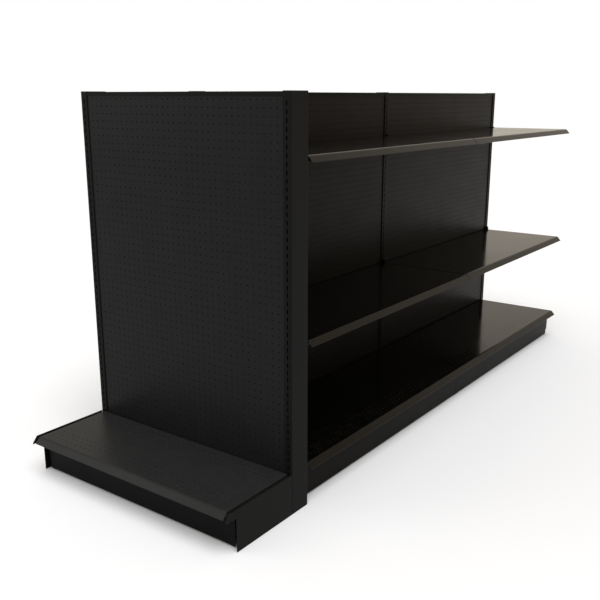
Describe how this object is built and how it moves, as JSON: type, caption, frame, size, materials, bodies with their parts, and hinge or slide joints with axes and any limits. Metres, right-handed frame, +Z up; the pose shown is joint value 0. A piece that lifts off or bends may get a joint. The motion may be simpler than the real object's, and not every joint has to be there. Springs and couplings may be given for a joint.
{
  "type": "gondola shelving unit",
  "caption": "Double-sided retail gondola with slotted uprights, pegboard backs, base decks, hooked shelves with price channels and a single-sided end cap.",
  "frame": {"origin": "middle of the footprint, on the floor", "axes": "+X along the run away from the end cap, +Y towards the rear aisle, +Z up"},
  "size_m": [2.8842, 0.955, 1.3716],
  "materials": {
    "frame_powder_coat": "semi-gloss black powder coat",
    "sheet_powder_coat": "semi-gloss black powder coat",
    "pegboard": "satin black",
    "plug_plastic": "matte black",
    "leveler_zinc": "zinc plated",
    "zinc_plate": "zinc plated"
  },
  "bodies": {
    "root": {"cap_upright_left": "frame_powder_coat", "cap_upright_right": "frame_powder_coat", "run_upright_near": "frame_powder_coat", "run_upright_centre": "frame_powder_coat", "run_upright_far": "frame_powder_coat", "upright_plugs": "plug_plastic", "cap_top_rail": "frame_powder_coat", "cap_bottom_rail": "frame_powder_coat", "cap_back_panel": "pegboard", "run_top_rail_near": "frame_powder_coat", "run_bottom_rail_near": "frame_powder_coat", "back_panel_near_front": "pegboard", "back_panel_near_rear": "pegboard", "run_top_rail_far": "frame_powder_coat", "run_bottom_rail_far": "frame_powder_coat", "back_panel_far_front": "pegboard", "back_panel_far_rear": "pegboard", "connector_bolts": "zinc_plate", "cap_base_legs": "frame_powder_coat", "base_legs_near": "frame_powder_coat", "base_legs_centre": "frame_powder_coat", "base_legs_far": "frame_powder_coat", "cap_end_trim_left": "sheet_powder_coat", "cap_end_trim_right": "sheet_powder_coat", "cap_kick_plate": "sheet_powder_coat", "kick_plate_near_front": "sheet_powder_coat", "kick_plate_near_rear": "sheet_powder_coat", "kick_plate_far_front": "sheet_powder_coat", "kick_plate_far_rear": "sheet_powder_coat"},
    "cap_deck": {"cap_base_deck": "sheet_powder_coat"},
    "deck_near_front": {"base_deck_near_front": "sheet_powder_coat"},
    "deck_near_rear": {"base_deck_near_rear": "sheet_powder_coat"},
    "deck_far_front": {"base_deck_far_front": "sheet_powder_coat"},
    "deck_far_rear": {"base_deck_far_rear": "sheet_powder_coat"},
    "foot_near_front": {"leveler_near_front": "leveler_zinc"},
    "foot_near_rear": {"leveler_near_rear": "leveler_zinc"},
    "foot_centre_front": {"leveler_centre_front": "leveler_zinc"},
    "foot_centre_rear": {"leveler_centre_rear": "leveler_zinc"},
    "foot_far_front": {"leveler_far_front": "leveler_zinc"},
    "foot_far_rear": {"leveler_far_rear": "leveler_zinc"},
    "cap_foot_left": {"cap_leveler_left": "leveler_zinc"},
    "cap_foot_right": {"cap_leveler_right": "leveler_zinc"},
    "shelf_mid_near_front": {"shelf_mid_near_front": "sheet_powder_coat", "brackets_mid_near_front": "frame_powder_coat"},
    "shelf_mid_near_rear": {"shelf_mid_near_rear": "sheet_powder_coat", "brackets_mid_near_rear": "frame_powder_coat"},
    "shelf_mid_far_front": {"shelf_mid_far_front": "sheet_powder_coat", "brackets_mid_far_front": "frame_powder_coat"},
    "shelf_mid_far_rear": {"shelf_mid_far_rear": "sheet_powder_coat", "brackets_mid_far_rear": "frame_powder_coat"},
    "shelf_top_near_front": {"shelf_top_near_front": "sheet_powder_coat", "brackets_top_near_front": "frame_powder_coat"},
    "shelf_top_near_rear": {"shelf_top_near_rear": "sheet_powder_coat", "brackets_top_near_rear": "frame_powder_coat"},
    "shelf_top_far_front": {"shelf_top_far_front": "sheet_powder_coat", "brackets_top_far_front": "frame_powder_coat"},
    "shelf_top_far_rear": {"shelf_top_far_rear": "sheet_powder_coat", "brackets_top_far_rear": "frame_powder_coat"}
  },
  "joints": [
    {"name": "cap_deck_lift", "type": "slide", "parent": "root", "child": "cap_deck", "axis": [0, 0, 1], "range_m": [0, 0.06]},
    {"name": "deck_near_front_lift", "type": "slide", "parent": "root", "child": "deck_near_front", "axis": [0, 0, 1], "range_m": [0, 0.06]},
    {"name": "deck_near_rear_lift", "type": "slide", "parent": "root", "child": "deck_near_rear", "axis": [0, 0, 1], "range_m": [0, 0.06]},
    {"name": "deck_far_front_lift", "type": "slide", "parent": "root", "child": "deck_far_front", "axis": [0, 0, 1], "range_m": [0, 0.06]},
    {"name": "deck_far_rear_lift", "type": "slide", "parent": "root", "child": "deck_far_rear", "axis": [0, 0, 1], "range_m": [0, 0.06]},
    {"name": "foot_near_front_turn", "type": "hinge", "parent": "root", "child": "foot_near_front", "pos_m": [-1.01219, -0.40868, 0.03], "axis": [0, 0, 1], "continuous": true},
    {"name": "foot_near_rear_turn", "type": "hinge", "parent": "root", "child": "foot_near_rear", "pos_m": [-1.01219, 0.40868, 0.03], "axis": [0, 0, 1], "continuous": true},
    {"name": "foot_centre_front_turn", "type": "hinge", "parent": "root", "child": "foot_centre_front", "pos_m": [0.20701, -0.40868, 0.03], "axis": [0, 0, 1], "continuous": true},
    {"name": "foot_centre_rear_turn", "type": "hinge", "parent": "root", "child": "foot_centre_rear", "pos_m": [0.20701, 0.40868, 0.03], "axis": [0, 0, 1], "continuous": true},
    {"name": "foot_far_front_turn", "type": "hinge", "parent": "root", "child": "foot_far_front", "pos_m": [1.42621, -0.40868, 0.03], "axis": [0, 0, 1], "continuous": true},
    {"name": "foot_far_rear_turn", "type": "hinge", "parent": "root", "child": "foot_far_rear", "pos_m": [1.42621, 0.40868, 0.03], "axis": [0, 0, 1], "continuous": true},
    {"name": "cap_foot_left_turn", "type": "hinge", "parent": "root", "child": "cap_foot_left", "pos_m": [-1.35546, 0.4572, 0.03], "axis": [0, 0, 1], "continuous": true},
    {"name": "cap_foot_right_turn", "type": "hinge", "parent": "root", "child": "cap_foot_right", "pos_m": [-1.35546, -0.4572, 0.03], "axis": [0, 0, 1], "continuous": true},
    {"name": "shelf_mid_near_front_tilt", "type": "hinge", "parent": "root", "child": "shelf_mid_near_front", "pos_m": [-0.40259, -0.0234, 0.59182], "axis": [-1, 0, 0], "range_deg": [0, 20]},
    {"name": "shelf_mid_near_rear_tilt", "type": "hinge", "parent": "root", "child": "shelf_mid_near_rear", "pos_m": [-0.40259, 0.0234, 0.59182], "axis": [1, 0, 0], "range_deg": [0, 20]},
    {"name": "shelf_mid_far_front_tilt", "type": "hinge", "parent": "root", "child": "shelf_mid_far_front", "pos_m": [0.81661, -0.0234, 0.59182], "axis": [-1, 0, 0], "range_deg": [0, 20]},
    {"name": "shelf_mid_far_rear_tilt", "type": "hinge", "parent": "root", "child": "shelf_mid_far_rear", "pos_m": [0.81661, 0.0234, 0.59182], "axis": [1, 0, 0], "range_deg": [0, 20]},
    {"name": "shelf_top_near_front_tilt", "type": "hinge", "parent": "root", "child": "shelf_top_near_front", "pos_m": [-0.40259, -0.0234, 1.17602], "axis": [-1, 0, 0], "range_deg": [0, 20]},
    {"name": "shelf_top_near_rear_tilt", "type": "hinge", "parent": "root", "child": "shelf_top_near_rear", "pos_m": [-0.40259, 0.0234, 1.17602], "axis": [1, 0, 0], "range_deg": [0, 20]},
    {"name": "shelf_top_far_front_tilt", "type": "hinge", "parent": "root", "child": "shelf_top_far_front", "pos_m": [0.81661, -0.0234, 1.17602], "axis": [-1, 0, 0], "range_deg": [0, 20]},
    {"name": "shelf_top_far_rear_tilt", "type": "hinge", "parent": "root", "child": "shelf_top_far_rear", "pos_m": [0.81661, 0.0234, 1.17602], "axis": [1, 0, 0], "range_deg": [0, 20]}
  ]
}
